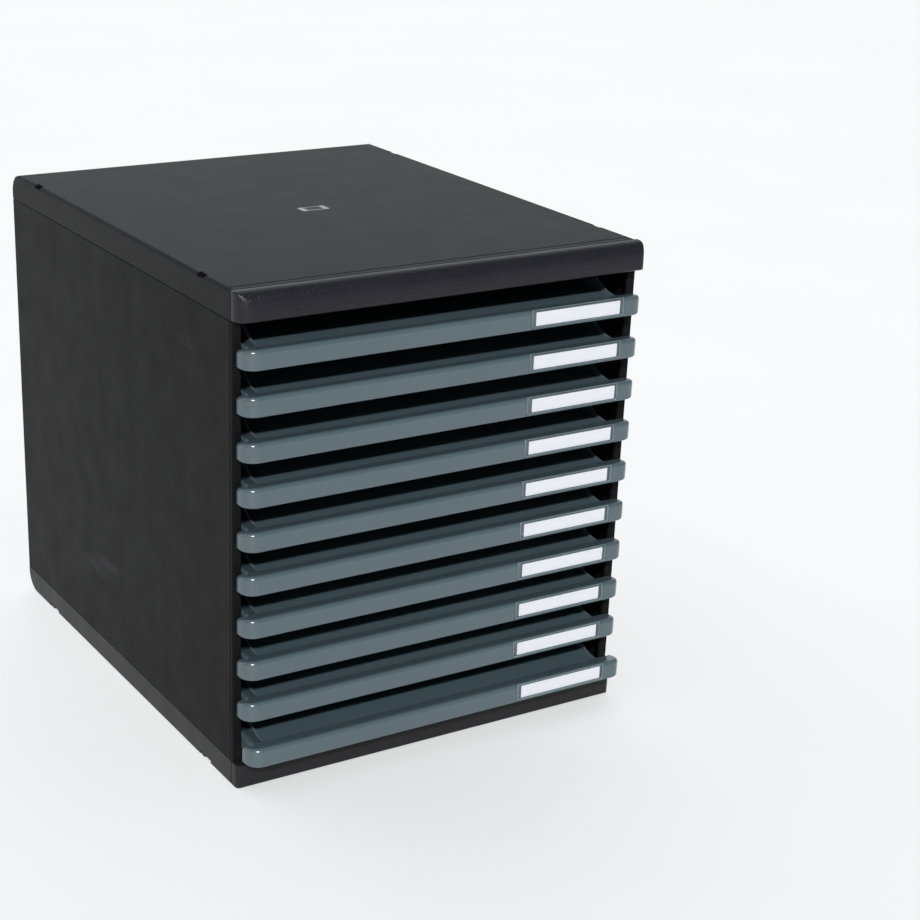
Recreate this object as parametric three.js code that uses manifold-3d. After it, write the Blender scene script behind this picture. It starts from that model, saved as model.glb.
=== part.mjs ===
// Desktop drawer cabinet for A4 and A4+ paper: a case of moulded shells with ten open-front drawers.
// Millimetres, +Z up, +X to the right, +Y to the back. The origin is under the centre of the whole
// object's box, on the surface that it stands on.
import * as THREE from 'three';
import { mergeVertices } from 'three/addons/utils/BufferGeometryUtils.js';
import Module from 'manifold-3d';

const wasm = await Module();
wasm.setup();

// ---- driving dimensions ----
const CASE_WIDTH = 288;
const CASE_DEPTH = 348;            // rear face to the front face of the side panels' flanges
const CASE_HEIGHT = 320;           // feet to the flat of the top cover
const DRAWER_COUNT = 10;
const DRAWER_PITCH = 28.2;
const BOTTOM_DRAWER_Z = 21;      // underside of the lowest drawer's front lip
const BOTTOM_DRAWER_AJAR = 7.5;    // the lowest drawer stands a little open at rest

// ---- case shells ----
const FOOT_DROP = 0.6;             // how far the feet reach below the base
const BASE_TOP = 16.3;
const COVER_BOTTOM = 301.8;
const SEAM = 0.5;                  // joint line between neighbouring shells
const WALL = 2.6;
const PLATE = 3;
const REAR_ROUND = 14;             // rounded rear edge of the cover and of the base
const FLANGE_WIDTH = 6.1;          // side panel's inturned front flange
const FLANGE_THICKNESS = 2.6;
const PANEL_GROOVE_Y = 2.7;        // from a shell's front to its shadow groove: side panels,
const BASE_GROOVE_Y = 1.9;         // base (behind the flange's front face)
const COVER_GROOVE_Y = 5.6;        // and cover
const GROOVE_WIDTH = 0.8;
const GROOVE_DEPTH = 0.6;
const BASE_LIP = 6;                // how far the base reaches ahead of the flanges
const BASE_CORNER = 3.5;
const BACK_PANEL = 2.4;

// ---- front bar under the cover's front edge ----
const BAR_DEPTH = 11;
const BAR_HEIGHT = 17.8;
const BAR_BACK = 1;                // how far the bar's back lies behind the flange face
const BAR_FLAT = 1;                // flat strip along the top, next to the cover
const BAR_SWELL = 2.6;             // exponent of the section's curve: 1 is a plain slope, 2 an ellipse
const BAR_STEPS = 10;
const BAR_LEFT_ROUND = 10.5;       // the right-hand end is nearly square
const BAR_RIGHT_ROUND = 4;

// ---- stacking features: notches in the edges, feet in the base ----
const STACK_FRONT_Y = -132.7;
const STACK_REAR_Y = 125.3;
const NOTCH_LENGTH = 9.5;
const NOTCH_DEPTH = 3;
const NOTCH_FLOOR = 0.6;           // plate left under a notch
const NOTCH_WIDTH = 3.2;
const BASE_NOTCH_HEIGHT = 2.2;
const FOOT_LENGTH = 5;
const FOOT_WIDTH = 7;
const FOOT_HEIGHT = 2.5;
const FOOT_SETBACK = 0.4;          // behind the base's side face

// ---- runner ledges on the side panels ----
const LEDGE_REACH = 12.9;
const LEDGE_THICKNESS = 1.8;
const LEDGE_TOP = 2.6;             // above the underside of the drawer that slides on it
const LEDGE_INSET = 6;             // from the case's front and rear faces

// ---- drawer, heights above the underside of its lip ----
const LIP_HALF_WIDTH = 142;
const LIP_FRONT = 14;              // ahead of the flange face
const LIP_REAR = 1.5;
const LIP_HEIGHT = 12.3;
const LIP_CORNER = 9;
const LIP_WALL = 2.2;
const LIP_DECK = 8.4;              // underside of the lip's top
const LIP_SLOPE_START = 2;         // behind the lip's front face
const FLOOR_TOP = 10.6;
const FLOOR_THICKNESS = 1.8;
const TRAY_HALF_WIDTH = 128.4;
const TRAY_REAR = 152;
const TRAY_WALL = 1.6;
const TRAY_WALL_TOP = 25.2;
const TRAY_RAMP = 40;              // length over which the side wall rises from the floor to its full height
const RAMP_EASE = 0.45;
const RAIL_OUTER = 137.3;          // outer face of the channel that slides on the ledge
const RAIL_WALL = 1.6;
const RAIL_RIM = 2.6;              // width of the channel's flat outer edge
const RAIL_TOP = 11.9;
const RAIL_BOTTOM = 3;
const STOP_REACH = 140.6;          // stop tabs run inside the flange and end the drawer's travel
const STOP_Y = 90;
const STOP_LENGTH = 6;
const RAIL_CUT_BACK = 45;          // the right-hand channel starts this far behind the lip's face

// ---- label window and card on the lip ----
const WINDOW_X = 90.2;
const WINDOW_WIDTH = 70.2;
const WINDOW_BOTTOM = 1.5;
const WINDOW_TOP = 12.9;
const WINDOW_THICKNESS = 1.2;
const CARD_X = 91;
const CARD_WIDTH = 64.2;
const CARD_BOTTOM = 2.2;
const CARD_TOP = 10.9;
const CARD_THICKNESS = 0.3;
const POCKET_DEPTH = 1;
const POCKET_GAP = 0.3;
const CARD_GAP = 0.1;

// ---- plain plate inlaid in the cover ----
const BADGE_LENGTH = 20;
const BADGE_DEPTH = 10;
const BADGE_THICKNESS = 0.7;
const BADGE_X = -3;
const BADGE_Y = -13;
const BADGE_GAP = 0.3;

const ARC_STEPS = 6;
const HALF_WIDTH = CASE_WIDTH / 2;
const REAR = CASE_DEPTH / 2;
const FLANGE_FACE = -CASE_DEPTH / 2;
const LIP_FACE = FLANGE_FACE - LIP_FRONT;

// ---- materials ----
const blackShell = new THREE.MeshStandardMaterial({ color: 0x242427, roughness: 0.5, metalness: 0 });
const blackBar = new THREE.MeshStandardMaterial({ color: 0x27272f, roughness: 0.38, metalness: 0 });
const footBlack = new THREE.MeshStandardMaterial({ color: 0x0e0e10, roughness: 0.7, metalness: 0 });
const blueGrey = new THREE.MeshStandardMaterial({ color: 0x4e636b, roughness: 0.32, metalness: 0 });
const paper = new THREE.MeshStandardMaterial({ color: 0xf2f2f6, roughness: 0.85, metalness: 0 });
const clear = new THREE.MeshStandardMaterial({
  color: 0xe6eef0, roughness: 0.08, metalness: 0, transparent: true, opacity: 0.3,
});
const silver = new THREE.MeshStandardMaterial({ color: 0x9fa2a6, roughness: 0.35, metalness: 0.8 });

// ---- solids ----
function solidOf(geometry) {
  const bare = geometry.index ? geometry : geometry.clone();
  bare.deleteAttribute('normal');
  bare.deleteAttribute('uv');
  const merged = mergeVertices(bare, 1e-4);
  return new wasm.Manifold(new wasm.Mesh({
    numProp: 3,
    vertProperties: new Float32Array(merged.attributes.position.array),
    triVerts: new Uint32Array(merged.index.array),
  }));
}

function geometryOf(solid) {
  const mesh = solid.getMesh();
  const geometry = new THREE.BufferGeometry();
  geometry.setAttribute('position', new THREE.BufferAttribute(new Float32Array(mesh.vertProperties), 3));
  geometry.setIndex(new THREE.BufferAttribute(new Uint32Array(mesh.triVerts), 1));
  geometry.computeVertexNormals();
  return geometry;
}

function box(x0, x1, y0, y1, z0, z1) {
  const geometry = new THREE.BoxGeometry(x1 - x0, y1 - y0, z1 - z0);
  geometry.translate((x0 + x1) / 2, (y0 + y1) / 2, (z0 + z1) / 2);
  return solidOf(geometry);
}

function extruded(outline, depth) {
  return new THREE.ExtrudeGeometry(outline, { depth, bevelEnabled: false, curveSegments: ARC_STEPS });
}

function polygon(points) {
  return new THREE.Shape(points.map(([a, b]) => new THREE.Vector2(a, b)));
}

// An outline in (y, z), swept along X.
function alongX(outline, x0, x1) {
  const geometry = extruded(outline, x1 - x0);
  geometry.applyMatrix4(new THREE.Matrix4().makeBasis(
    new THREE.Vector3(0, 1, 0), new THREE.Vector3(0, 0, 1), new THREE.Vector3(1, 0, 0),
  ));
  geometry.translate(x0, 0, 0);
  return solidOf(geometry);
}

// An outline in (x, z), swept along Y.
function alongY(outline, y0, y1) {
  const geometry = extruded(outline, y1 - y0);
  geometry.applyMatrix4(new THREE.Matrix4().makeBasis(
    new THREE.Vector3(1, 0, 0), new THREE.Vector3(0, 0, 1), new THREE.Vector3(0, -1, 0),
  ));
  geometry.translate(0, y1, 0);
  return solidOf(geometry);
}

// An outline in (x, y), swept along Z.
function alongZ(outline, z0, z1) {
  const geometry = extruded(outline, z1 - z0);
  geometry.translate(0, 0, z0);
  return solidOf(geometry);
}

// A bar seen from above: straight back, and round corners at the two front ends.
function roundFrontPlan(halfWidth, front, back, radius, rightRadius = radius) {
  const plan = new THREE.Shape();
  plan.moveTo(-halfWidth, back);
  plan.lineTo(-halfWidth, front + radius);
  plan.absarc(-halfWidth + radius, front + radius, radius, Math.PI, 1.5 * Math.PI, false);
  plan.lineTo(halfWidth - rightRadius, front);
  plan.absarc(
    halfWidth - rightRadius, front + rightRadius, rightRadius, 1.5 * Math.PI, 2 * Math.PI, false,
  );
  plan.lineTo(halfWidth, back);
  plan.closePath();
  return plan;
}

// ---- case ----
function coverProfile(front, rear, bottom, top, radius) {
  const profile = new THREE.Shape();
  profile.moveTo(front, bottom);
  profile.lineTo(rear, bottom);
  profile.lineTo(rear, top - radius);
  profile.absarc(rear - radius, top - radius, radius, 0, Math.PI / 2, false);
  profile.lineTo(front, top);
  profile.closePath();
  return profile;
}

function baseProfile(front, rear, bottom, top, radius) {
  const profile = new THREE.Shape();
  profile.moveTo(front, bottom);
  profile.lineTo(rear - radius, bottom);
  profile.absarc(rear - radius, bottom + radius, radius, -Math.PI / 2, 0, false);
  profile.lineTo(rear, top);
  profile.lineTo(front, top);
  profile.closePath();
  return profile;
}

function badgePocket(gap, bottom, top) {
  return box(
    BADGE_X - BADGE_LENGTH / 2 - gap, BADGE_X + BADGE_LENGTH / 2 + gap,
    BADGE_Y - BADGE_DEPTH / 2 - gap, BADGE_Y + BADGE_DEPTH / 2 + gap, bottom, top,
  );
}

function topCover() {
  const front = FLANGE_FACE + BAR_BACK + SEAM;
  const innerTop = CASE_HEIGHT - PLATE;
  const inner = HALF_WIDTH - WALL;
  const profile = coverProfile(front, REAR, COVER_BOTTOM, CASE_HEIGHT, REAR_ROUND);
  let cover = alongX(profile, -HALF_WIDTH, HALF_WIDTH);
  const hollow = coverProfile(front + WALL, REAR - WALL, COVER_BOTTOM - 1, innerTop, REAR_ROUND - WALL);
  cover = cover.subtract(alongX(hollow, -inner, inner));
  const groove = front + COVER_GROOVE_Y;
  cover = cover.subtract(box(
    -HALF_WIDTH - 1, HALF_WIDTH + 1, groove, groove + GROOVE_WIDTH,
    CASE_HEIGHT - GROOVE_DEPTH, CASE_HEIGHT + 1,
  ));
  for (const side of [-1, 1]) {
    for (const y of [STACK_FRONT_Y, STACK_REAR_Y]) {
      const edge = side * HALF_WIDTH;
      cover = cover.subtract(box(
        Math.min(edge - side * NOTCH_WIDTH, edge + side), Math.max(edge - side * NOTCH_WIDTH, edge + side),
        y - NOTCH_LENGTH / 2, y + NOTCH_LENGTH / 2,
        CASE_HEIGHT - NOTCH_DEPTH + NOTCH_FLOOR, CASE_HEIGHT + 1,
      ));
    }
  }
  return cover.subtract(badgePocket(BADGE_GAP, CASE_HEIGHT - BADGE_THICKNESS, CASE_HEIGHT + 1));
}

function badge() {
  const top = CASE_HEIGHT + BADGE_GAP / 2;
  return badgePocket(0, CASE_HEIGHT - BADGE_THICKNESS + BADGE_GAP / 2, top);
}

function frontBar() {
  const front = FLANGE_FACE + BAR_BACK - BAR_DEPTH;
  const back = FLANGE_FACE + BAR_BACK;
  const bottom = CASE_HEIGHT - BAR_HEIGHT;
  const reach = BAR_DEPTH - BAR_FLAT;
  const points = [[back, bottom], [back, CASE_HEIGHT]];
  for (let k = BAR_STEPS; k >= 0; k -= 1) {
    const angle = (Math.PI / 2) * (k / BAR_STEPS);
    points.push([
      front + reach * (1 - Math.max(Math.cos(angle), 0) ** (2 / BAR_SWELL)),
      bottom + BAR_HEIGHT * Math.sin(angle) ** (2 / BAR_SWELL),
    ]);
  }
  const bar = alongX(polygon(points), -HALF_WIDTH, HALF_WIDTH);
  return bar.intersect(alongZ(
    roundFrontPlan(HALF_WIDTH, front, back + 1, BAR_LEFT_ROUND, BAR_RIGHT_ROUND),
    bottom - 1, CASE_HEIGHT + 1,
  ));
}

function base() {
  const front = FLANGE_FACE - BASE_LIP;
  const inner = HALF_WIDTH - WALL;
  const floorTop = FOOT_DROP + PLATE;
  const profile = baseProfile(front, REAR, FOOT_DROP, BASE_TOP, REAR_ROUND);
  let shell = alongX(profile, -HALF_WIDTH, HALF_WIDTH);
  shell = shell.intersect(alongZ(roundFrontPlan(HALF_WIDTH, front, REAR + 1, BASE_CORNER), -1, BASE_TOP + 1));
  const cavityFront = FLANGE_FACE + FLANGE_THICKNESS;
  const cavity = baseProfile(cavityFront, REAR - WALL, floorTop, BASE_TOP + 1, REAR_ROUND - WALL);
  shell = shell.subtract(alongX(cavity, -inner, inner));
  const groove = FLANGE_FACE + BASE_GROOVE_Y;
  for (const side of [-1, 1]) {
    const depth = side * (HALF_WIDTH - GROOVE_DEPTH);
    const outside = side * (HALF_WIDTH + 1);
    shell = shell.subtract(box(
      Math.min(depth, outside), Math.max(depth, outside), groove, groove + GROOVE_WIDTH, -1, BASE_TOP + 1,
    ));
    for (const y of [STACK_FRONT_Y, STACK_REAR_Y]) {
      const x0 = side > 0 ? HALF_WIDTH - FOOT_WIDTH - SEAM : -HALF_WIDTH - 1;
      const x1 = side > 0 ? HALF_WIDTH + 1 : -HALF_WIDTH + FOOT_WIDTH + SEAM;
      const notchFront = y - NOTCH_LENGTH;
      const notchRear = y + FOOT_LENGTH + SEAM;
      shell = shell.subtract(box(x0, x1, notchFront, notchRear, -1, FOOT_DROP + BASE_NOTCH_HEIGHT));
    }
  }
  return shell;
}

function foot(side, y) {
  const outer = side * (HALF_WIDTH - FOOT_SETBACK);
  const inner = side * (HALF_WIDTH - FOOT_WIDTH);
  return box(Math.min(outer, inner), Math.max(outer, inner), y, y + FOOT_LENGTH, 0, FOOT_HEIGHT);
}

// side is 1 for the right-hand panel and -1 for its mirror image on the left.
function sidePanel(side) {
  const bottom = BASE_TOP + SEAM;
  const top = COVER_BOTTOM - SEAM;
  const inner = HALF_WIDTH - WALL;
  const flangeInner = HALF_WIDTH - FLANGE_WIDTH;
  const span = (a, b) => [Math.min(side * a, side * b), Math.max(side * a, side * b)];
  let panel = box(...span(inner, HALF_WIDTH), FLANGE_FACE, REAR, bottom, top);
  const flangeBack = FLANGE_FACE + FLANGE_THICKNESS;
  panel = panel.add(box(...span(flangeInner, HALF_WIDTH), FLANGE_FACE, flangeBack, bottom, top));
  for (let k = 0; k < DRAWER_COUNT; k += 1) {
    const ledgeTop = BOTTOM_DRAWER_Z + k * DRAWER_PITCH + LEDGE_TOP;
    panel = panel.add(box(
      ...span(inner - LEDGE_REACH, inner), FLANGE_FACE + LEDGE_INSET, REAR - LEDGE_INSET,
      ledgeTop - LEDGE_THICKNESS, ledgeTop,
    ));
  }
  const groove = FLANGE_FACE + PANEL_GROOVE_Y;
  return panel.subtract(box(
    ...span(HALF_WIDTH - GROOVE_DEPTH, HALF_WIDTH + 1), groove, groove + GROOVE_WIDTH, bottom - 1, top + 1,
  ));
}

function backPanel() {
  const halfWidth = HALF_WIDTH - WALL - SEAM;
  const rear = REAR - SEAM;
  return box(-halfWidth, halfWidth, rear - BACK_PANEL, rear, BASE_TOP + SEAM, COVER_BOTTOM - SEAM);
}

// ---- drawer, with the underside of its lip at z = 0 and closed ----
function drawerLip() {
  const rear = FLANGE_FACE - LIP_REAR;
  let lip = alongZ(roundFrontPlan(LIP_HALF_WIDTH, LIP_FACE, rear, LIP_CORNER), 0, LIP_HEIGHT);
  const hollow = roundFrontPlan(
    LIP_HALF_WIDTH - LIP_WALL, LIP_FACE + LIP_WALL, rear + 1, LIP_CORNER - LIP_WALL,
  );
  lip = lip.subtract(alongZ(hollow, -1, LIP_DECK));
  const slopeStart = LIP_FACE + LIP_SLOPE_START;
  const slope = polygon([
    [slopeStart, LIP_HEIGHT], [rear, FLOOR_TOP], [rear + 1, FLOOR_TOP], [rear + 1, LIP_HEIGHT + 1],
    [slopeStart, LIP_HEIGHT + 1],
  ]);
  lip = lip.subtract(alongX(slope, -LIP_HALF_WIDTH - 1, LIP_HALF_WIDTH + 1));
  const pocket = WINDOW_WIDTH / 2 + POCKET_GAP;
  return lip.subtract(box(
    WINDOW_X - pocket, WINDOW_X + pocket, LIP_FACE - 1, LIP_FACE + POCKET_DEPTH,
    WINDOW_BOTTOM - POCKET_GAP, LIP_HEIGHT + 1,
  ));
}

function trayWalls() {
  const front = FLANGE_FACE - LIP_REAR - 1;
  const floorBottom = FLOOR_TOP - FLOOR_THICKNESS;
  const inner = TRAY_HALF_WIDTH - TRAY_WALL;
  const sideWall = new THREE.Shape();
  sideWall.moveTo(front, floorBottom);
  sideWall.lineTo(TRAY_REAR, floorBottom);
  sideWall.lineTo(TRAY_REAR, TRAY_WALL_TOP);
  sideWall.lineTo(front + TRAY_RAMP, TRAY_WALL_TOP);
  sideWall.bezierCurveTo(
    front + TRAY_RAMP * (1 - RAMP_EASE), TRAY_WALL_TOP,
    front + TRAY_RAMP * RAMP_EASE, FLOOR_TOP, front, FLOOR_TOP,
  );
  sideWall.closePath();
  const channel = polygon([
    [inner, FLOOR_TOP], [inner, RAIL_BOTTOM], [RAIL_OUTER, RAIL_BOTTOM], [RAIL_OUTER, RAIL_TOP],
    [RAIL_OUTER - RAIL_RIM, RAIL_TOP], [RAIL_OUTER - RAIL_RIM, RAIL_BOTTOM + RAIL_WALL],
    [TRAY_HALF_WIDTH, RAIL_BOTTOM + RAIL_WALL], [TRAY_HALF_WIDTH, FLOOR_TOP],
  ]);
  const mirrored = polygon(channel.getPoints().map((p) => [-p.x, p.y]).reverse());
  const rightStart = LIP_FACE + RAIL_CUT_BACK;
  return box(-TRAY_HALF_WIDTH, TRAY_HALF_WIDTH, front, TRAY_REAR, floorBottom, FLOOR_TOP)
    .add(box(-TRAY_HALF_WIDTH, TRAY_HALF_WIDTH, TRAY_REAR - TRAY_WALL, TRAY_REAR, floorBottom, TRAY_WALL_TOP))
    .add(alongX(sideWall, inner, TRAY_HALF_WIDTH))
    .add(alongX(sideWall, -TRAY_HALF_WIDTH, -inner))
    .add(alongY(channel, rightStart, TRAY_REAR))
    .add(alongY(mirrored, front, TRAY_REAR));
}

function drawerTray() {
  const stops = [-1, 1].map((side) => box(
    Math.min(side * (RAIL_OUTER - RAIL_RIM), side * STOP_REACH),
    Math.max(side * (RAIL_OUTER - RAIL_RIM), side * STOP_REACH),
    STOP_Y, STOP_Y + STOP_LENGTH, RAIL_BOTTOM, RAIL_TOP,
  ));
  return drawerLip().add(trayWalls()).add(stops[0]).add(stops[1]);
}

function labelCard() {
  const back = LIP_FACE + POCKET_DEPTH - CARD_GAP;
  return box(
    CARD_X - CARD_WIDTH / 2, CARD_X + CARD_WIDTH / 2, back - CARD_THICKNESS, back, CARD_BOTTOM, CARD_TOP,
  );
}

function labelWindow() {
  const back = LIP_FACE + POCKET_DEPTH - 2 * CARD_GAP - CARD_THICKNESS;
  return box(
    WINDOW_X - WINDOW_WIDTH / 2, WINDOW_X + WINDOW_WIDTH / 2, back - WINDOW_THICKNESS, back,
    WINDOW_BOTTOM, WINDOW_TOP,
  );
}

// ---- assembly ----
function piece(name, solid, material) {
  const mesh = new THREE.Mesh(geometryOf(solid), material);
  mesh.name = name;
  return mesh;
}

const cabinet = new THREE.Group();
const windowFront = LIP_FACE + POCKET_DEPTH - 2 * CARD_GAP - CARD_THICKNESS - WINDOW_THICKNESS;
const frontMost = windowFront - BOTTOM_DRAWER_AJAR;
cabinet.position.y = -(frontMost + REAR) / 2;

cabinet.add(
  piece('base_shell', base(), blackShell),
  piece('top_cover', topCover(), blackShell),
  piece('front_bar', frontBar(), blackBar),
  piece('side_panel_left', sidePanel(-1), blackShell),
  piece('side_panel_right', sidePanel(1), blackShell),
  piece('back_panel', backPanel(), blackShell),
  piece('cover_plate', badge(), silver),
  piece('foot_front_left', foot(-1, STACK_FRONT_Y), footBlack),
  piece('foot_front_right', foot(1, STACK_FRONT_Y), footBlack),
  piece('foot_rear_left', foot(-1, STACK_REAR_Y), footBlack),
  piece('foot_rear_right', foot(1, STACK_REAR_Y), footBlack),
);

const tray = geometryOf(drawerTray());
const card = geometryOf(labelCard());
const labelCover = geometryOf(labelWindow());

for (let number = 1; number <= DRAWER_COUNT; number += 1) {
  const suffix = String(number).padStart(2, '0');
  const drawer = new THREE.Group();
  const ajar = number === DRAWER_COUNT ? BOTTOM_DRAWER_AJAR : 0;
  drawer.position.set(0, -ajar, BOTTOM_DRAWER_Z + (DRAWER_COUNT - number) * DRAWER_PITCH);
  const parts = [
    ['drawer_tray', tray, blueGrey], ['label_card', card, paper], ['label_window', labelCover, clear],
  ];
  for (const [name, geometry, material] of parts) {
    const mesh = new THREE.Mesh(geometry, material);
    mesh.name = `${name}_${suffix}`;
    drawer.add(mesh);
  }
  cabinet.add(drawer);
}

export default cabinet;
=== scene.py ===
import math

import bmesh
import bpy
from mathutils import Matrix, Vector


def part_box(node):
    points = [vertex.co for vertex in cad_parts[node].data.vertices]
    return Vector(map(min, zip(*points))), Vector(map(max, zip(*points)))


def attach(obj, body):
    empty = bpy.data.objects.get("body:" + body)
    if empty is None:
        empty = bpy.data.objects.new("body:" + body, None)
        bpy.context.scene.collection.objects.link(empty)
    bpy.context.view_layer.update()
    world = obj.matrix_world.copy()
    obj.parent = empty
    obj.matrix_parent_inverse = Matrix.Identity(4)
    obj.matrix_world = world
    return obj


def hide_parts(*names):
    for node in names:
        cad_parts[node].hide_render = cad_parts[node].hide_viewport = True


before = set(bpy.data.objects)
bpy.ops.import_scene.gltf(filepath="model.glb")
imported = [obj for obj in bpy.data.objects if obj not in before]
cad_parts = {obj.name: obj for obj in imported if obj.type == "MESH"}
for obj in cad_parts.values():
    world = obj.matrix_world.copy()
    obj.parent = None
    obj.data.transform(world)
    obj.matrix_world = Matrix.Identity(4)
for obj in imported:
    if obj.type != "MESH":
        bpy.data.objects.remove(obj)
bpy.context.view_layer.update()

MM = 0.001
DRAWERS = [f"{number:02d}" for number in range(1, 11)]

# ---- case details ----
WALL = 2.6
PLATE = 3
REAR_ROUND = 14
SIDE_EDGE = 2.5            # rounding along the cover's side edges
SHELL_EDGE = 0.4
COVER_FRONT_EDGE = 0.7
PANEL_GROOVE = 2.7         # from a shell's front to its shadow groove: side panels,
BASE_GROOVE = 7.9          # base
COVER_GROOVE = 5.6         # and cover
GROOVE_WIDTH = 0.8
GROOVE_DEPTH = 0.6
GROOVE_EDGE = 0.15
FLANGE_WIDTH = 6.1
FLANGE_THICKNESS = 2.6
FLANGE_EDGE = 0.9
LEDGE_REACH = 12.9
LEDGE_THICKNESS = 1.8
LEDGE_TOP = 2.6            # above the underside of the drawer that slides on it
LEDGE_INSET = 6
STACK_NOTCH = 9.5
NOTCH_WIDTH = 3.2
NOTCH_DEPTH = 2.4
FOOT_NOTCH_TOP = 2.8
FOOT_GAP = 0.5
BASE_CORNER = 3.5
BASE_EDGE = 0.8
BASE_LIP = 6
BACK_FIELD_INSET = 9       # recessed field in the back panel
BACK_FIELD_DEPTH = 0.7
BACK_CORNER = 3

# ---- front bar ----
BAR_FLAT = 1               # flat strip along the top, next to the cover
BAR_SWELL = 2.6            # exponent of the section's curve: 1 is a plain slope, 2 an ellipse
BAR_LEFT_ROUND = 10.5      # the right-hand end is rounded less
BAR_RIGHT_ROUND = 4
BAR_BOTTOM_EDGE = 1.8
BAR_CREASE = 2.2           # softness of the crease where the top and end roundings meet

# ---- plate on the cover ----
PLATE_GAP = 0.3            # round the plate in its pocket
PLATE_RIM_X = 4
PLATE_RIM_Y = 0.8
PLATE_SINK = 0.15          # its middle lies this far below its rim

# ---- drawer, heights above the underside of its lip, depths behind its face ----
LIP_DEPTH = 12.5
LIP_HEIGHT = 12.3
LIP_CORNER = 9
LIP_WALL = 2.2
LIP_DECK = 8.4
LIP_TOP_ROUND = 2.6
LIP_BOTTOM_ROUND = 0.7
LIP_ROWS = 6               # steps from the top fillet to the lip's rear edge
SLOPE_START = 3            # where the top starts to slope down towards the floor
FLOOR_TOP = 10.6
FLOOR_THICKNESS = 1.8
TRAY_FRONT = 11.5
TRAY_HALF_WIDTH = 128.4
TRAY_WALL = 1.6
TRAY_WALL_TOP = 25.2
TRAY_RAMP = 40
RAMP_EASE = 0.45
RAMP_STEPS = 20
RAIL_OUTER = 137.3
RAIL_WALL = 1.6
RAIL_RIM = 2.6
RAIL_TOP = 11.9
RAIL_BOTTOM = 3
RAIL_CUT_BACK = 45         # the right-hand channel starts this far behind the lip's face
STOP_REACH = 140.6
STOP_DEPTH = 278           # from the lip's face to the stop tabs
STOP_LENGTH = 6
POCKET_DEPTH = 1
POCKET_GAP = 0.3
OVERLAP = 1                # how far joined solids run into each other
CARD_SHIFT = {"03": 0.6, "05": -0.4, "07": 0.5, "08": -0.3}  # loose cards, to the right

# ---- view and light ----
VIEW_AZIMUTH = -30.646     # degrees: 0 is the front, negative is to the left
VIEW_ELEVATION = 22.039
VIEW_ROLL = 1.432
VIEW_TARGET = (0.04923, 0.0111, 0.0811)
VIEW_DISTANCE = 1.4237     # metres, from the target
VIEW_LENS = 76.31
VIEW_SHIFT = (0.1053, 0.0662)
SUN_AZIMUTH = -27
SUN_ELEVATION = 37
SUN_STRENGTH = 3.9
SUN_SPREAD = 4
ROOM_LIGHT = 0.22          # strength of the world in front and overhead
BACKDROP_LIGHT = 0.95      # and towards the back
FLOOR_REACH = 9000


# ---- meshes ----
def node_box(node):
    low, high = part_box(node)
    return low / MM, high / MM


def solid(vertices, faces, name="solid"):
    """A closed mesh object from points in millimetres, with its faces pointing out."""
    mesh = bpy.data.meshes.new(name)
    mesh.from_pydata([Vector(v) * MM for v in vertices], [], faces)
    work = bmesh.new()
    work.from_mesh(mesh)
    bmesh.ops.recalc_face_normals(work, faces=work.faces)
    work.to_mesh(mesh)
    work.free()
    obj = bpy.data.objects.new(name, mesh)
    bpy.context.scene.collection.objects.link(obj)
    return obj


def arc_steps(radius):
    return max(3, min(16, round(4 * math.sqrt(radius))))


def rounded(corners, steps=None):
    """An outline from (a, b, radius) corners. Each radius becomes an arc."""
    outline = []
    for i, (a, b, radius) in enumerate(corners):
        here = Vector((a, b))
        if radius <= 0:
            outline.append((a, b))
            continue
        before = (Vector(corners[i - 1][:2]) - here).normalized()
        after = (Vector(corners[(i + 1) % len(corners)][:2]) - here).normalized()
        half = before.angle(after) / 2
        centre = here + (before + after).normalized() * radius / math.sin(half)
        start = here + before * radius / math.tan(half) - centre
        end = here + after * radius / math.tan(half) - centre
        first = math.atan2(start.y, start.x)
        turn = (math.atan2(end.y, end.x) - first + math.pi) % (2 * math.pi) - math.pi
        count = steps or arc_steps(radius)
        for k in range(count + 1):
            angle = first + turn * k / count
            outline.append((centre.x + radius * math.cos(angle), centre.y + radius * math.sin(angle)))
    return outline


def placed(axis, a, b, along):
    """A point from its two coordinates across the axis and the one along it."""
    return {"x": (along, a, b), "y": (a, along, b), "z": (a, b, along)}[axis]


def stacked(rings):
    """A closed solid through rings of equally many points."""
    count = len(rings[0])
    vertices = [point for ring in rings for point in ring]
    faces = [list(range(count)), list(range(len(vertices) - count, len(vertices)))]
    for level in range(len(rings) - 1):
        for i in range(count):
            a = level * count + i
            b = level * count + (i + 1) % count
            faces.append([a, b, b + count, a + count])
    return solid(vertices, faces)


def prism(axis, outline, low, high):
    return stacked([[placed(axis, a, b, along) for a, b in outline] for along in (low, high)])


def box(low, high):
    outline = [(low[0], low[1]), (high[0], low[1]), (high[0], high[1]), (low[0], high[1])]
    return prism("z", outline, low[2], high[2])


def soft_block(axis, low, high, corner, edge):
    """A block with round corners seen along the axis, and softened edges at its two ends."""
    order = {"x": (1, 2, 0), "y": (0, 2, 1), "z": (0, 1, 2)}[axis]
    a0, b0, c0 = (low[k] for k in order)
    a1, b1, c1 = (high[k] for k in order)
    rings = []
    quarter = [math.pi / 2 * k / 4 for k in range(5)]
    levels = [(edge * (1 - math.sin(t)), c0 + edge * (1 - math.cos(t))) for t in quarter]
    levels += [(edge * (1 - math.cos(t)), c1 - edge * (1 - math.sin(t))) for t in quarter]
    for inset, along in levels:
        radius = max(corner - inset, 0.05)
        ring = rounded([
            (a0 + inset, b0 + inset, radius), (a1 - inset, b0 + inset, radius),
            (a1 - inset, b1 - inset, radius), (a0 + inset, b1 - inset, radius),
        ], steps=5)
        rings.append([placed(axis, a, b, along) for a, b in ring])
    return stacked(rings)


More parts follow.
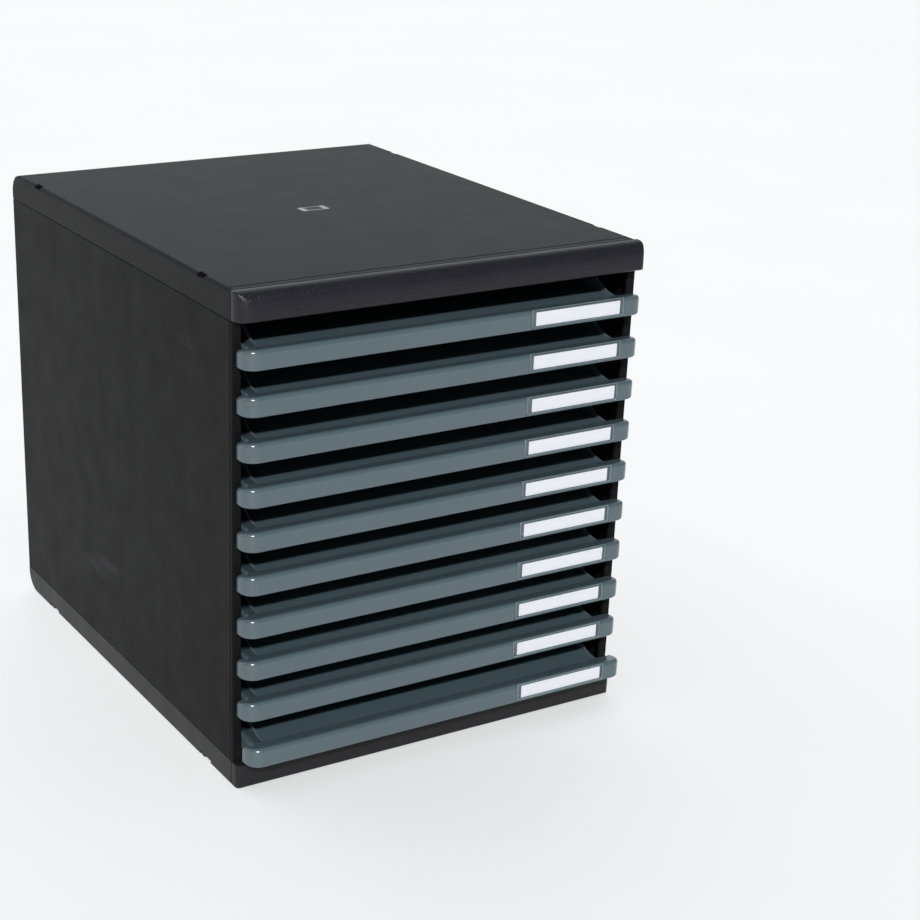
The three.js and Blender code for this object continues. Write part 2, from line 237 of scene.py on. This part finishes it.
def combined(target, operation, *others):
    """The target joined with, cut by or limited to the other solids, which are used up."""
    for other in others:
        modifier = target.modifiers.new("combine", "BOOLEAN")
        modifier.operation = operation
        modifier.solver = "EXACT"
        modifier.object = other
        graph = bpy.context.evaluated_depsgraph_get()
        mesh = bpy.data.meshes.new_from_object(target.evaluated_get(graph))
        target.modifiers.clear()
        target.data = mesh
        bpy.data.objects.remove(other)
    return target


def grouped(solids):
    """Separate solids as one object, to combine with another in one step."""
    work = bmesh.new()
    for obj in solids:
        work.from_mesh(obj.data)
    work.to_mesh(solids[0].data)
    work.free()
    for obj in solids[1:]:
        bpy.data.objects.remove(obj)
    return solids[0]


def moved(obj, offset):
    """A copy of the object's mesh in a new object, shifted by an offset in millimetres."""
    copy = bpy.data.objects.new(obj.name, obj.data.copy())
    copy.data.transform(Matrix.Translation(Vector(offset) * MM))
    bpy.context.scene.collection.objects.link(copy)
    return copy


def finished(obj, name, body, node, slot, *materials):
    """Names the piece, shades it, gives it its material and sets it on its body in the node's place."""
    obj.name = name
    obj.data.name = name
    obj.data.materials.clear()
    for material in materials:
        obj.data.materials.append(material)
    for polygon in obj.data.polygons:
        polygon.use_smooth = True
    obj.data.set_sharp_from_angle(angle=math.radians(32))
    weighted = obj.modifiers.new("weighted_normals", "WEIGHTED_NORMAL")
    weighted.keep_sharp = True
    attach(obj, body)
    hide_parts(node)


# ---- materials ----
def material_nodes(name):
    material = bpy.data.materials.new(name)
    material.use_nodes = True
    tree = material.node_tree
    return material, tree, tree.nodes["Principled BSDF"]


def noise(tree, size, detail=2.0, stretch=None):
    """A noise pattern in the piece's own coordinates, whose features are about size millimetres."""
    coordinates = tree.nodes.new("ShaderNodeTexCoord").outputs["Object"]
    if stretch:
        mapping = tree.nodes.new("ShaderNodeMapping")
        mapping.inputs["Scale"].default_value = stretch
        tree.links.new(coordinates, mapping.inputs["Vector"])
        coordinates = mapping.outputs["Vector"]
    node = tree.nodes.new("ShaderNodeTexNoise")
    node.inputs["Scale"].default_value = 1 / (size * MM)
    node.inputs["Detail"].default_value = detail
    tree.links.new(coordinates, node.inputs["Vector"])
    return node.outputs["Fac"]


def ranged(tree, value, low, high, start=0.3, end=0.7):
    node = tree.nodes.new("ShaderNodeMapRange")
    node.inputs["From Min"].default_value = start
    node.inputs["From Max"].default_value = end
    node.inputs["To Min"].default_value = low
    node.inputs["To Max"].default_value = high
    tree.links.new(value, node.inputs["Value"])
    return node.outputs["Result"]


def mixed_colour(tree, factor, first, second):
    node = tree.nodes.new("ShaderNodeMix")
    node.data_type = "RGBA"
    for socket, colour in ((6, first), (7, second)):
        if isinstance(colour, tuple):
            node.inputs[socket].default_value = (*colour, 1)
        else:
            tree.links.new(colour, node.inputs[socket])
    tree.links.new(factor, node.inputs[0])
    return node.outputs[2]


def bump(tree, shader, height, depth):
    node = tree.nodes.new("ShaderNodeBump")
    node.inputs["Strength"].default_value = 1
    node.inputs["Distance"].default_value = depth * MM
    tree.links.new(height, node.inputs["Height"])
    tree.links.new(node.outputs["Normal"], shader.inputs["Normal"])


def moulded_plastic(name, dark, light, rough_low, rough_high, grain, depth, specular=0.5):
    """Injection-moulded plastic: mottled colour, uneven gloss and a fine spark-eroded grain."""
    material, tree, shader = material_nodes(name)
    cloud = noise(tree, 60, 4)
    fleck = noise(tree, grain * 1.6, 1)
    tint = mixed_colour(tree, ranged(tree, cloud, 0, 1), dark, light)
    tint = mixed_colour(tree, ranged(tree, fleck, 0, 0.5), tint, light)
    tree.links.new(tint, shader.inputs["Base Color"])
    gloss = ranged(tree, noise(tree, 24, 5), rough_low, rough_high)
    tree.links.new(gloss, shader.inputs["Roughness"])
    shader.inputs["Specular IOR Level"].default_value = specular
    bump(tree, shader, noise(tree, grain, 3), depth)
    return material


def black_shell_material():
    return moulded_plastic(
        "black_shell", (0.0080, 0.0080, 0.0088), (0.0115, 0.0115, 0.0125), 0.40, 0.48, 1.4, 0.10, 0.22)


def cover_shell_material():
    return moulded_plastic(
        "cover_plastic", (0.0050, 0.0050, 0.0056), (0.0068, 0.0068, 0.0075), 0.42, 0.45, 1.5, 0.20, 0.065)


def side_shell_material():
    """The side panels' plastic, with a few faint lighter streaks of painted sheen."""
    material = moulded_plastic(
        "side_shell", (0.0045, 0.0045, 0.0050), (0.0065, 0.0065, 0.0071), 0.42, 0.50, 1.4, 0.12, 0.05)
    tree = material.node_tree
    shader = tree.nodes["Principled BSDF"]
    base = shader.inputs["Base Color"].links[0].from_socket
    # painted sheen: lighter streaks stand in for light reflected off the side panels
    painted_sheen = ranged(tree, noise(tree, 40, 6, (1, 0.35, 1.6)), 0, 0.5, 0.66, 0.74)
    tint = mixed_colour(tree, painted_sheen, base, (0.030, 0.030, 0.032))
    tree.links.new(tint, shader.inputs["Base Color"])
    return material


def bar_material():
    return moulded_plastic(
        "black_bar", (0.0036, 0.0036, 0.0070), (0.0064, 0.0062, 0.0108), 0.34, 0.40, 1.1, 0.42, 0.36)


def drawer_material():
    return moulded_plastic(
        "drawer_plastic", (0.052, 0.080, 0.092), (0.057, 0.086, 0.099), 0.22, 0.27, 1.4, 0.004, 0.65)


def foot_material():
    return moulded_plastic(
        "foot_rubber", (0.010, 0.010, 0.011), (0.016, 0.016, 0.017), 0.62, 0.75, 0.5, 0.03)


def paper_material():
    material, tree, shader = material_nodes("label_paper")
    fibre = noise(tree, 0.9, 4, (1, 1, 2.5))
    tint = mixed_colour(tree, ranged(tree, fibre, 0, 1), (0.625, 0.645, 0.69), (0.675, 0.695, 0.74))
    tree.links.new(tint, shader.inputs["Base Color"])
    tree.links.new(ranged(tree, fibre, 0.78, 0.9), shader.inputs["Roughness"])
    bump(tree, shader, fibre, 0.01)
    return material


def clear_material():
    """Thin clear plastic: sight and light go straight through, and its faces reflect."""
    material = bpy.data.materials.new("window_clear")
    material.use_nodes = True
    tree = material.node_tree
    tree.nodes.clear()
    output = tree.nodes.new("ShaderNodeOutputMaterial")
    through = tree.nodes.new("ShaderNodeBsdfTransparent")
    through.inputs["Color"].default_value = (0.97, 0.97, 0.97, 1)
    gloss = tree.nodes.new("ShaderNodeBsdfGlossy")
    tree.links.new(ranged(tree, noise(tree, 9, 3), 0.05, 0.12), gloss.inputs["Roughness"])
    fresnel = tree.nodes.new("ShaderNodeFresnel")
    fresnel.inputs["IOR"].default_value = 1.49
    outside = tree.nodes.new("ShaderNodeMath")
    outside.operation = "SUBTRACT"
    outside.inputs[0].default_value = 1
    tree.links.new(tree.nodes.new("ShaderNodeNewGeometry").outputs["Backfacing"], outside.inputs[1])
    share = tree.nodes.new("ShaderNodeMath")
    share.operation = "MULTIPLY"
    tree.links.new(fresnel.outputs[0], share.inputs[0])
    tree.links.new(outside.outputs[0], share.inputs[1])
    mix = tree.nodes.new("ShaderNodeMixShader")
    tree.links.new(share.outputs[0], mix.inputs[0])
    tree.links.new(through.outputs[0], mix.inputs[1])
    tree.links.new(gloss.outputs[0], mix.inputs[2])
    tree.links.new(mix.outputs[0], output.inputs["Surface"])
    return material


def clear_edge_and_glint_material():
    """The cover's cut edges, where clear plastic looks milky, with a painted highlight and a painted
    reflection of the drawer's colour.
    """
    # the light teal is partly the milky edge and partly a painted highlight line and painted reflection of
    # the drawer around it
    return moulded_plastic(
        "window_edge_and_glint", (0.10, 0.16, 0.18), (0.20, 0.28, 0.30), 0.15, 0.3, 0.8, 0.01)


def plate_material():
    material, tree, shader = material_nodes("silver_plate")
    brushed = noise(tree, 0.5, 3, (0.05, 1, 1))
    tint = mixed_colour(tree, ranged(tree, brushed, 0, 1), (0.30, 0.30, 0.31), (0.42, 0.42, 0.43))
    tree.links.new(tint, shader.inputs["Base Color"])
    tree.links.new(ranged(tree, brushed, 0.3, 0.45), shader.inputs["Roughness"])
    shader.inputs["Metallic"].default_value = 0.8
    bump(tree, shader, brushed, 0.01)
    return material


def floor_material():
    material, tree, shader = material_nodes("studio_floor")
    cloud = ranged(tree, noise(tree, 300, 3), 0, 1)
    tint = mixed_colour(tree, cloud, (0.85, 0.85, 0.85), (0.87, 0.87, 0.87))
    tree.links.new(tint, shader.inputs["Base Color"])
    shader.inputs["Roughness"].default_value = 0.7
    return material


BLACK = black_shell_material()
COVER = cover_shell_material()
SIDE = side_shell_material()
BAR = bar_material()
BLUE = drawer_material()
FOOT = foot_material()
PAPER = paper_material()
CLEAR = clear_material()
CLEAR_EDGE_AND_GLINT = clear_edge_and_glint_material()
SILVER = plate_material()


# ---- case ----
def shell_cavity(front, rear, low, high, half_width, rounded_top):
    """The space inside the cover or the base, which is open on the other side."""
    radius = REAR_ROUND - WALL
    outline = rounded([
        (front, low, 0), (rear, low, 0 if rounded_top else radius),
        (rear, high, radius if rounded_top else 0), (front, high, 0),
    ])
    return prism("x", outline, -half_width, half_width)


def plate_pocket():
    low, high = node_box("cover_plate")
    below = Vector((PLATE_GAP, PLATE_GAP, PLATE_GAP / 2))
    above = Vector((PLATE_GAP, PLATE_GAP, OVERLAP))
    return soft_block("z", low - below, high + above, 1.2, 0.05)


def top_cover():
    low, high = node_box("top_cover")
    groove = low.y + COVER_GROOVE
    outline = rounded([
        (low.y, low.z, SHELL_EDGE), (high.y, low.z, SHELL_EDGE), (high.y, high.z, REAR_ROUND),
        (groove + GROOVE_WIDTH, high.z, 2 * GROOVE_EDGE),
        (groove + GROOVE_WIDTH, high.z - GROOVE_DEPTH, GROOVE_EDGE),
        (groove, high.z - GROOVE_DEPTH, GROOVE_EDGE), (groove, high.z, 2 * GROOVE_EDGE),
        (low.y, high.z, COVER_FRONT_EDGE),
    ])
    cover = prism("x", outline, low.x, high.x)
    across = rounded([
        (low.x, low.z - OVERLAP, 0), (high.x, low.z - OVERLAP, 0),
        (high.x, high.z, SIDE_EDGE), (low.x, high.z, SIDE_EDGE),
    ])
    combined(cover, "INTERSECT", prism("y", across, low.y - OVERLAP, high.y + OVERLAP))
    cavity = shell_cavity(
        low.y + WALL, high.y - WALL, low.z - OVERLAP, high.z - PLATE, high.x - WALL, True)
    notches = []
    for side in (low.x, high.x):
        inner = side - math.copysign(NOTCH_WIDTH, side)
        for node in ("foot_front_left", "foot_rear_left"):
            middle = node_box(node)[0].y
            notches.append(box(
                (min(side, inner) - (side < 0), middle - STACK_NOTCH / 2, high.z - NOTCH_DEPTH),
                (max(side, inner) + (side > 0), middle + STACK_NOTCH / 2, high.z + OVERLAP)))
    combined(cover, "DIFFERENCE", cavity, grouped(notches), plate_pocket())
    finished(cover, "cover_shell", "case", "top_cover", "black_shell", COVER)


def soft_larger(a, b, softness):
    """The larger of two values, with the switch from one to the other rounded off."""
    near = max(softness - abs(a - b), 0)
    return max(a, b) + near * near / (4 * softness)


def front_bar():
    """The top rounding and the two end roundings meet in a soft mitre."""
    low, high = node_box("front_bar")
    quarter = [math.pi / 2 * k / 18 for k in range(19)]
    reach = high.y - low.y - BAR_FLAT
    levels = []
    for angle in quarter[::4]:
        height = low.z + BAR_BOTTOM_EDGE * (1 - math.cos(angle))
        levels.append((height, BAR_BOTTOM_EDGE * (1 - math.sin(angle))))
    for angle in quarter:
        rise = (high.z - low.z) * math.sin(angle) ** (2 / BAR_SWELL)
        inset = reach * (1 - max(math.cos(angle), 0) ** (2 / BAR_SWELL))
        if rise > BAR_BOTTOM_EDGE:
            levels.append((low.z + rise, inset))
    end = [(1 - math.cos(angle), 1 - math.sin(angle)) for angle in quarter]
    line = [(low.x + BAR_LEFT_ROUND * across, BAR_LEFT_ROUND * back) for across, back in end]
    line += [(high.x - BAR_RIGHT_ROUND * across, BAR_RIGHT_ROUND * back) for across, back in reversed(end)]
    rings = []
    for height, inset in levels:
        ring = [(x, low.y + soft_larger(depth, inset, BAR_CREASE), height) for x, depth in line]
        rings.append(ring + [(high.x, high.y, height), (low.x, high.y, height)])
    finished(stacked(rings), "bar_shell", "case", "front_bar", "black_bar", BAR)


def base_shell():
    low, high = node_box("base_shell")
    outline = rounded([
        (low.y, low.z, BASE_EDGE), (high.y, low.z, REAR_ROUND),
        (high.y, high.z, SHELL_EDGE), (low.y, high.z, BASE_EDGE),
    ])
    base = prism("x", outline, low.x, high.x)
    plan = rounded([
        (low.x, low.y, BASE_CORNER), (high.x, low.y, BASE_CORNER),
        (high.x, high.y + OVERLAP, 0), (low.x, high.y + OVERLAP, 0),
    ])
    combined(base, "INTERSECT", prism("z", plan, low.z - OVERLAP, high.z + OVERLAP))
    flange_back = low.y + BASE_LIP + FLANGE_THICKNESS
    cavity = shell_cavity(
        flange_back, high.y - WALL, low.z + PLATE, high.z + OVERLAP, high.x - WALL, False)
    notches = []
    groove = low.y + BASE_GROOVE
    for side in (low.x, high.x):
        inner = side - math.copysign(GROOVE_DEPTH, side)
        outer = side + math.copysign(OVERLAP, side)
        notches.append(box(
            (min(inner, outer), groove, low.z - OVERLAP),
            (max(inner, outer), groove + GROOVE_WIDTH, high.z + OVERLAP)))
    for name in ("front_left", "front_right", "rear_left", "rear_right"):
        foot_low, foot_high = node_box("foot_" + name)
        right = foot_low.x > 0
        notches.append(box(
            (foot_low.x - (FOOT_GAP if right else OVERLAP), foot_low.y - STACK_NOTCH, low.z - OVERLAP),
            (foot_high.x + (OVERLAP if right else FOOT_GAP), foot_high.y + FOOT_GAP, FOOT_NOTCH_TOP)))
    combined(base, "DIFFERENCE", cavity, grouped(notches))
    finished(base, "base_tray", "case", "base_shell", "black_shell", BLACK)


def feet():
    for name in ("front_left", "front_right", "rear_left", "rear_right"):
        low, high = node_box("foot_" + name)
        foot = soft_block("z", low, high, 0.8, 0.3)
        finished(foot, "rubber_foot_" + name, "case", "foot_" + name, "foot", FOOT)


def side_panel(name):
    low, high = node_box("side_panel_" + name)
    side = 1 if high.x > 0 and low.x > 0 else -1
    outer = max(abs(low.x), abs(high.x))
    groove = low.y + PANEL_GROOVE
    outline = rounded([
        (side * outer, low.y, FLANGE_EDGE), (side * outer, groove, GROOVE_EDGE),
        (side * (outer - GROOVE_DEPTH), groove, GROOVE_EDGE),
        (side * (outer - GROOVE_DEPTH), groove + GROOVE_WIDTH, GROOVE_EDGE),
        (side * outer, groove + GROOVE_WIDTH, GROOVE_EDGE),
        (side * outer, high.y, SHELL_EDGE), (side * (outer - WALL), high.y, SHELL_EDGE),
        (side * (outer - WALL), low.y + FLANGE_THICKNESS, SHELL_EDGE),
        (side * (outer - FLANGE_WIDTH), low.y + FLANGE_THICKNESS, SHELL_EDGE),
        (side * (outer - FLANGE_WIDTH), low.y, FLANGE_EDGE),
    ])
    panel = prism("z", outline, low.z, high.z)
    wall = side * (outer - WALL + OVERLAP)
    reach = side * (outer - WALL - LEDGE_REACH)
    ledges = []
    for number in DRAWERS:
        top = node_box("drawer_tray_" + number)[0].z + LEDGE_TOP
        ledges.append(soft_block(
            "y", (min(wall, reach), low.y + LEDGE_INSET, top - LEDGE_THICKNESS),
            (max(wall, reach), high.y - LEDGE_INSET, top), 0.4, 0.4))
    combined(panel, "UNION", grouped(ledges))
    finished(panel, "side_wall_" + name, "case", "side_panel_" + name, "black_shell", SIDE)


def back_panel():
    low, high = node_box("back_panel")
    panel = soft_block("y", low, high, BACK_CORNER, 0.4)
    inset = Vector((BACK_FIELD_INSET, 0, BACK_FIELD_INSET))
    field_low = low + inset
    field_high = high - inset
    field_low.y = high.y - BACK_FIELD_DEPTH
    field_high.y = high.y + OVERLAP
    combined(panel, "DIFFERENCE", soft_block("y", field_low, field_high, BACK_CORNER, 0.2))
    finished(panel, "rear_panel", "case", "back_panel", "black_shell", BLACK)


def cover_plate():
    """A blank plate: a bright rim round a slightly sunk middle."""
    low, high = node_box("cover_plate")
    plate = soft_block("z", low, high, 1, 0.15)
    rim = Vector((PLATE_RIM_X, PLATE_RIM_Y, 0))
    field_low = low + rim
    field_high = high - rim
    field_low.z = high.z - PLATE_SINK
    field_high.z = high.z + OVERLAP
    combined(plate, "DIFFERENCE", soft_block("z", field_low, field_high, 0.6, 0.05))
    finished(plate, "plain_plate", "case", "cover_plate", "silver_plate", SILVER, BLACK)
    for polygon in plate.data.polygons:
        if polygon.center.z / MM < high.z - 0.1 and polygon.normal.z > 0.9:
            polygon.material_index = 1


# ---- drawer, made with its face at y = 0 and its underside at z = 0 ----
def lip_drop(y):
    """How far the lip's top lies below its full height."""
    return (LIP_HEIGHT - FLOOR_TOP + 0.1) * max(0.0, (y - SLOPE_START) / (LIP_DEPTH - SLOPE_START))


def lip_line(half_width, inset):
    """The lip's outline seen from above, from its rear left corner round the front to its rear right."""
    centre_x = half_width - LIP_CORNER
    radius = LIP_CORNER - inset
    side_length = LIP_DEPTH - LIP_CORNER
    left = [(-half_width + inset, LIP_DEPTH - side_length * k / LIP_ROWS) for k in range(LIP_ROWS)]
    steps = arc_steps(LIP_CORNER)
    for k in range(steps + 1):
        angle = math.pi + math.pi / 2 * k / steps
        left.append((-centre_x + radius * math.cos(angle), LIP_CORNER + radius * math.sin(angle)))
    return left + [(-x, y) for x, y in reversed(left)]


def drawer_lip(half_width):
    levels = []
    for k in range(5):
        angle = math.pi / 2 * k / 4
        height = LIP_BOTTOM_ROUND * (1 - math.cos(angle))
        levels.append((height, LIP_BOTTOM_ROUND * (1 - math.sin(angle))))
    for k in range(8):
        angle = math.pi / 2 * k / 7
        height = LIP_HEIGHT - LIP_TOP_ROUND * (1 - math.sin(angle))
        levels.append((height, LIP_TOP_ROUND * (1 - math.cos(angle))))
    lines = []
    for height, inset in levels:
        upper = height > LIP_HEIGHT / 2
        lines.append([(x, y, height - lip_drop(y) * upper) for x, y in lip_line(half_width, inset)])
    count = len(lines[0])
    vertices = [point for line in lines for point in line]
    faces = [list(range(count))]
    for level in range(len(lines) - 1):
        for i in range(count - 1):
            a = level * count + i
            faces.append([a, a + 1, a + 1 + count, a + count])
    # the top: one column of points for each point of the front line, running straight back
    top = (len(lines) - 1) * count
    first, last = LIP_ROWS, count - 1 - LIP_ROWS
    grid = [[top + first - row for row in range(LIP_ROWS + 1)]]
    for i in range(first + 1, last):
        x, y, height = vertices[top + i]
        column = [top + i]
        for row in range(1, LIP_ROWS + 1):
            back = y + (LIP_DEPTH - y) * row / LIP_ROWS
            column.append(len(vertices))
            vertices.append((x, back, LIP_HEIGHT - lip_drop(back)))
        grid.append(column)
    grid.append([top + last + row for row in range(LIP_ROWS + 1)])
    for a, b in zip(grid, grid[1:]):
        for row in range(LIP_ROWS):
            faces.append([a[row], b[row], b[row + 1], a[row + 1]])
    rear = [level * count for level in range(len(lines))]
    rear += [column[-1] for column in grid[1:-1]]
    rear += [level * count + count - 1 for level in reversed(range(len(lines)))]
    faces.append(rear)
    return solid(vertices, faces)


def tray_section(wall_height):
    """The tray cut across: floor, side walls and the channels that slide on the ledges."""
    inner = TRAY_HALF_WIDTH - TRAY_WALL
    floor_bottom = FLOOR_TOP - FLOOR_THICKNESS
    wall_top = FLOOR_TOP + wall_height
    top_round = min(0.7, wall_height * 0.4)
    rim = RAIL_OUTER - RAIL_RIM
    right = [
        (inner, floor_bottom, 0.3), (inner, RAIL_BOTTOM, 0.4), (RAIL_OUTER, RAIL_BOTTOM, 0.6),
        (RAIL_OUTER, RAIL_TOP, 0.6), (rim, RAIL_TOP, 0.6), (rim, RAIL_BOTTOM + RAIL_WALL, 0.5),
        (TRAY_HALF_WIDTH, RAIL_BOTTOM + RAIL_WALL, 0.5), (TRAY_HALF_WIDTH, wall_top, top_round),
        (inner, wall_top, top_round), (inner, FLOOR_TOP, top_round),
    ]
    return rounded(right + [(-x, z, radius) for x, z, radius in reversed(right)], steps=3)


def drawer_tray(length):
    height = TRAY_WALL_TOP - FLOOR_TOP
    stations = []
    for k in range(RAMP_STEPS + 1):
        t = k / RAMP_STEPS
        share = 3 * (1 - t) ** 2 * t * RAMP_EASE + 3 * (1 - t) * t * t * (1 - RAMP_EASE) + t ** 3
        rise = 3 * (1 - t) * t * t + t ** 3
        stations.append((TRAY_FRONT + TRAY_RAMP * share, max(height * rise, 0.05)))
    stations.append((length, height))
    tray = stacked([[(x, y, z) for x, z in tray_section(wall)] for y, wall in stations])
    web = TRAY_HALF_WIDTH - TRAY_WALL
    floor_bottom = FLOOR_TOP - FLOOR_THICKNESS
    gap = [
        (web, -OVERLAP), (RAIL_OUTER + OVERLAP, -OVERLAP), (RAIL_OUTER + OVERLAP, RAIL_TOP + OVERLAP),
        (TRAY_HALF_WIDTH, RAIL_TOP + OVERLAP), (TRAY_HALF_WIDTH, floor_bottom), (web, floor_bottom),
    ]
    combined(tray, "DIFFERENCE", prism("y", gap, TRAY_FRONT - OVERLAP, RAIL_CUT_BACK))
    half = TRAY_HALF_WIDTH - TRAY_WALL / 2
    outline = rounded([
        (length - TRAY_WALL, FLOOR_TOP - OVERLAP, 0), (length - 0.05, FLOOR_TOP - OVERLAP, 0),
        (length - 0.05, TRAY_WALL_TOP - 0.1, 0.6), (length - TRAY_WALL, TRAY_WALL_TOP - 0.1, 0.6),
    ])
    rear_wall = prism("x", outline, -half, half)
    stops = []
    for side in (-1, 1):
        near = side * (RAIL_OUTER - OVERLAP)
        far = side * STOP_REACH
        stops.append(soft_block(
            "z", (min(near, far), STOP_DEPTH, RAIL_BOTTOM + 0.6),
            (max(near, far), STOP_DEPTH + STOP_LENGTH, RAIL_TOP - 0.7), 0.6, 0.3))
    return combined(tray, "UNION", rear_wall, grouped(stops))


def whole_drawer():
    low, high = node_box("drawer_tray_01")
    window_low, window_high = node_box("label_window_01")
    lip = drawer_lip(high.x)
    inner = high.x - LIP_WALL
    corner = LIP_CORNER - LIP_WALL
    plan = rounded([
        (-inner, LIP_WALL, corner), (inner, LIP_WALL, corner),
        (inner, LIP_DEPTH + OVERLAP, 0), (-inner, LIP_DEPTH + OVERLAP, 0),
    ])
    hollow = prism("z", plan, -OVERLAP, LIP_DECK)
    pocket = box(
        (window_low.x - POCKET_GAP, -OVERLAP, window_low.z - low.z - POCKET_GAP),
        (window_high.x + POCKET_GAP, POCKET_DEPTH, LIP_HEIGHT + OVERLAP))
    combined(lip, "DIFFERENCE", hollow, pocket)
    return combined(lip, "UNION", drawer_tray(high.y - low.y))


def drawers():
    master = whole_drawer()
    for number in DRAWERS:
        body = "drawer_" + number
        low, high = node_box("drawer_tray_" + number)
        tray = moved(master, (0, low.y, low.z))
        finished(tray, "drawer_" + number, body, "drawer_tray_" + number, "drawer_plastic", BLUE)
        low, high = node_box("label_card_" + number)
        shift = Vector((CARD_SHIFT.get(number, 0), 0, 0))
        card = soft_block("y", low + shift, high + shift, 0.4, 0.08)
        finished(card, "paper_card_" + number, body, "label_card_" + number, "label_paper", PAPER)
        low, high = node_box("label_window_" + number)
        window = soft_block("y", low, high, 0.8, 0.3)
        finished(window, "clear_cover_" + number, body, "label_window_" + number, "window_clear",
                 CLEAR, CLEAR_EDGE_AND_GLINT)
        # the window's edge faces take the edge material, with its painted highlight and painted reflection
        for polygon in window.data.polygons:
            if abs(polygon.normal.y) < 0.9:
                polygon.material_index = 1
    bpy.data.objects.remove(master)


# ---- studio ----
def direction(azimuth, elevation):
    """From the object towards a place round it. Azimuth 0 is the front and 90 the right, in degrees."""
    a = math.radians(azimuth)
    e = math.radians(elevation)
    return Vector((math.sin(a) * math.cos(e), -math.cos(a) * math.cos(e), math.sin(e)))


def studio_camera():
    roll = math.radians(VIEW_ROLL)
    back = direction(VIEW_AZIMUTH, VIEW_ELEVATION)
    right = (-back).cross(Vector((0, 0, 1))).normalized()
    up = right.cross(-back)
    rolled_right = math.cos(roll) * right + math.sin(roll) * up
    rolled_up = -math.sin(roll) * right + math.cos(roll) * up
    camera = bpy.data.objects.new("camera", bpy.data.cameras.new("camera"))
    camera.data.lens = VIEW_LENS
    camera.data.shift_x, camera.data.shift_y = VIEW_SHIFT
    turn = Matrix((rolled_right, rolled_up, back)).transposed()
    place = Vector(VIEW_TARGET) + back * VIEW_DISTANCE
    camera.matrix_world = Matrix.Translation(place) @ turn.to_4x4()
    bpy.context.scene.collection.objects.link(camera)
    bpy.context.scene.camera = camera


def studio_sun():
    light = bpy.data.lights.new("key", "SUN")
    light.energy = SUN_STRENGTH
    light.angle = math.radians(SUN_SPREAD)
    sun = bpy.data.objects.new("key", light)
    sun.rotation_mode = "QUATERNION"
    sun.rotation_quaternion = direction(SUN_AZIMUTH, SUN_ELEVATION).to_track_quat("Z", "Y")
    bpy.context.scene.collection.objects.link(sun)


def studio_world():
    """A dim room with a bright backdrop behind the object."""
    world = bpy.data.worlds.new("studio")
    world.use_nodes = True
    tree = world.node_tree
    looking = tree.nodes.new("ShaderNodeTexCoord").outputs["Generated"]
    parts = tree.nodes.new("ShaderNodeSeparateXYZ")
    tree.links.new(looking, parts.inputs[0])
    strength = ranged(tree, parts.outputs["Y"], ROOM_LIGHT, BACKDROP_LIGHT, 0.2, 0.65)
    background = tree.nodes["Background"]
    background.inputs["Color"].default_value = (0.95, 0.97, 1, 1)
    tree.links.new(strength, background.inputs["Strength"])
    return world


def studio():
    corners = [(-1, -1), (1, -1), (1, 1), (-1, 1)]
    floor = solid([(FLOOR_REACH * x, FLOOR_REACH * y, 0) for x, y in corners], [[0, 1, 2, 3]])
    floor.name = "studio_floor"
    floor.data.materials.append(floor_material())
    studio_sun()
    bpy.context.scene.world = studio_world()
    bpy.context.scene.view_settings.view_transform = "Standard"
    studio_camera()


top_cover()
front_bar()
base_shell()
feet()
side_panel("left")
side_panel("right")
back_panel()
cover_plate()
drawers()
studio()
